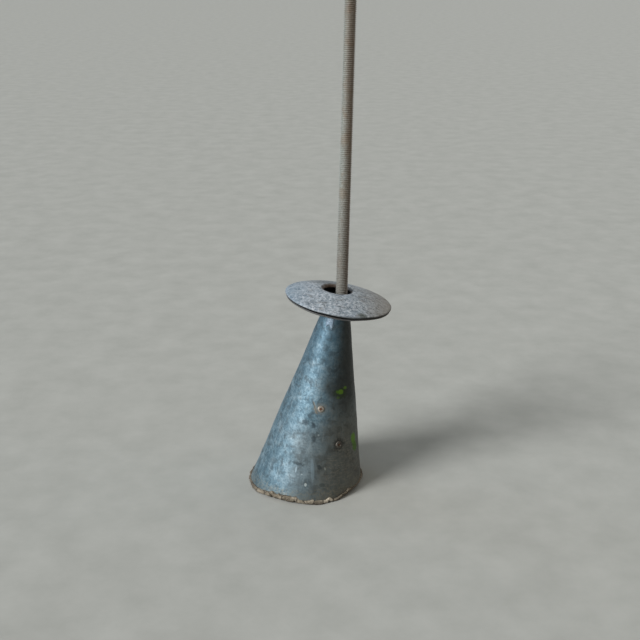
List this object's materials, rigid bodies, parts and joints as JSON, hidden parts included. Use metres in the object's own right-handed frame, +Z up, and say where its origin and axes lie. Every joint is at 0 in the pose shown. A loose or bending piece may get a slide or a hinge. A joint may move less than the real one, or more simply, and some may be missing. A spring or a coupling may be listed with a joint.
{
  "type": "bollard post",
  "caption": "Leaning sheet-zinc cone cast onto a mortar foot, with a threaded rod rising from its neck and a loose two-dish collar that lifts and turns on the rod.",
  "frame": {"origin": "middle of the foot's flat underside, on the floor", "axes": "+Z up, +X the way the cone leans, +Y to the back, where the seam strip runs"},
  "size_m": [0.1238, 0.1004, 0.425],
  "materials": {
    "sheet_zinc": "matte",
    "dish_zinc": "satin",
    "solder": "satin",
    "mortar": "matte",
    "rod_steel": "satin",
    "fastener_steel": "matte",
    "rivet_aluminium": "satin",
    "rivet_steel": "matte"
  },
  "bodies": {
    "root": {"cone_shell": "sheet_zinc", "seam_strip": "sheet_zinc", "neck_ring": "sheet_zinc", "neck_solder": "solder", "mortar_foot": "mortar", "threaded_rod": "rod_steel", "anchor_nut_lower": "fastener_steel", "anchor_plate": "fastener_steel", "anchor_nut_upper": "fastener_steel", "clamp_washer": "fastener_steel", "clamp_nut": "fastener_steel", "rivet_upper_body": "rivet_aluminium", "rivet_upper_stem": "rivet_steel", "rivet_lower_body": "rivet_aluminium", "rivet_lower_stem": "rivet_steel"},
    "lower_dish": {"collar_lower_dish": "dish_zinc"},
    "upper_dish": {"collar_upper_dish": "dish_zinc"}
  },
  "joints": [
    {"name": "collar_lift", "type": "slide", "parent": "root", "child": "lower_dish", "axis": [0.022, 0, 0.9998], "range_m": [0, 0.235]},
    {"name": "upper_dish_turn", "type": "hinge", "parent": "lower_dish", "child": "upper_dish", "pos_m": [0.02843, 0, 0.16766], "axis": [0.1568, 0, 0.9876], "continuous": true}
  ]
}
